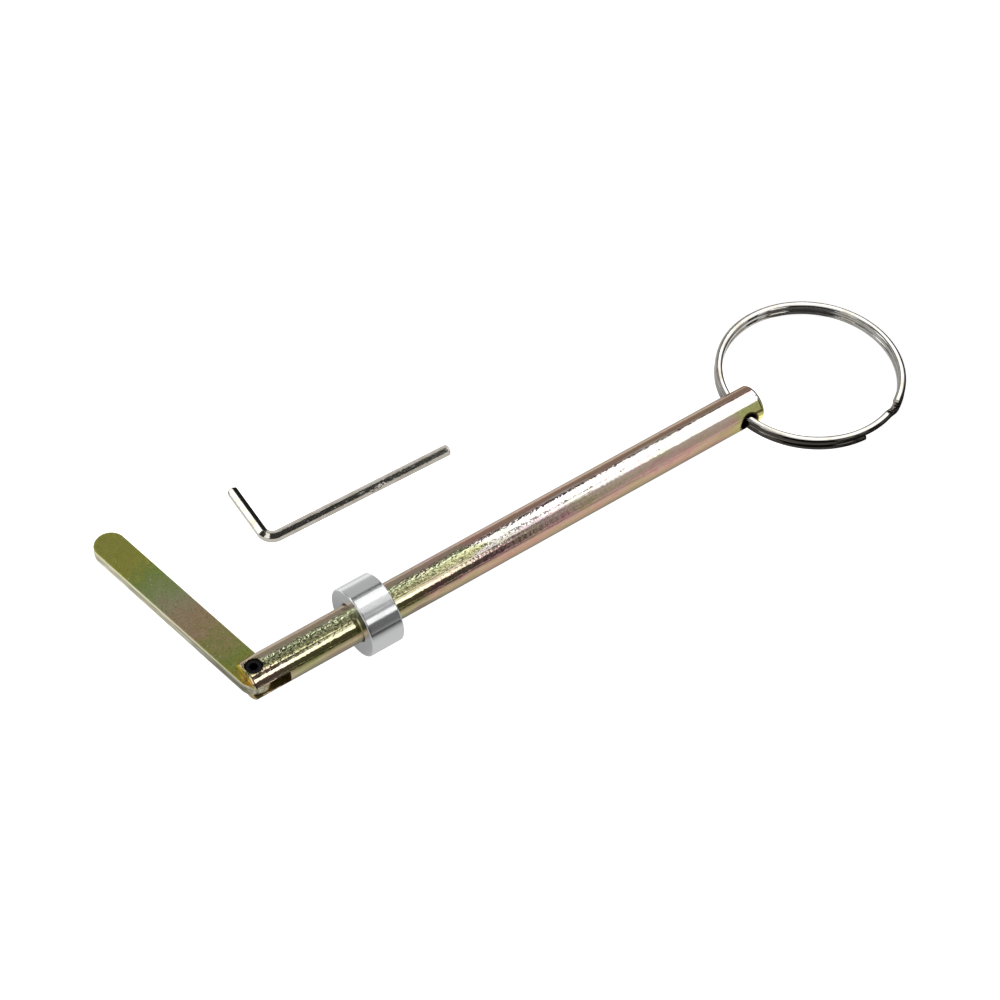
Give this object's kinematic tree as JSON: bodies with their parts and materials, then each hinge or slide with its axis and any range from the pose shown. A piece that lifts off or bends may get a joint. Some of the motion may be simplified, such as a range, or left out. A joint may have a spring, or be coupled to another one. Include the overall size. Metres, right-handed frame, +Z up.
{
  "type": "hitch pin lock",
  "caption": "Round steel hitch pin with a toggle lever in a slotted toe, a sliding stop collar with a set screw, a split pull ring through its tail, and a loose hex key.",
  "frame": {"origin": "on the pin's axis, in the middle of the round stretch between the lever's slot and the stop collar, where the gripped part sits", "axes": "+X along the pin from the lever end to the ring end, +Y to the side that the turned lever points to, +Z up along the lever's hinge axis"},
  "size_m": [0.197, 0.0786, 0.0174],
  "materials": {
    "pin_zinc": "yellow chromate zinc plate on turned steel",
    "lever_zinc": "yellow chromate zinc plate on flat bar",
    "black_oxide": "black oxide",
    "collar_aluminium": "fine turned",
    "ring_nickel": "bright nickel plate on spring wire",
    "key_nickel": "bright nickel plate on hexagonal bar"
  },
  "bodies": {
    "pin": {"pin_body": "pin_zinc", "pivot_set_screw": "black_oxide"},
    "lever": {"toggle_lever": "lever_zinc"},
    "collar": {"stop_collar": "collar_aluminium"},
    "clamp": {"collar_set_screw": "black_oxide"},
    "ring": {"split_ring": "ring_nickel"},
    "key": {"hex_key": "key_nickel"}
  },
  "joints": [
    {"name": "lever_hinge", "type": "hinge", "parent": "pin", "child": "lever", "pos_m": [-0.01665, 0, 0], "axis": [0, 0, 1], "range_deg": [-33.5, 195.5]},
    {"name": "collar_slide", "type": "slide", "parent": "pin", "child": "collar", "axis": [1, 0, 0], "range_m": [-0.016, 0.099]},
    {"name": "clamp_screw", "type": "slide", "parent": "collar", "child": "clamp", "axis": [0, 1, 0], "range_m": [0, 0.003]},
    {"name": "ring_swing", "type": "hinge", "parent": "pin", "child": "ring", "pos_m": [0.1225, 0, 0], "axis": [0, 1, 0], "range_deg": [-172.5, 169.5]},
    {"name": "key_lift", "type": "slide", "parent": "pin", "child": "key", "axis": [-0.0367, -0.0349, 0.9987], "range_m": [0, 0.06]}
  ]
}
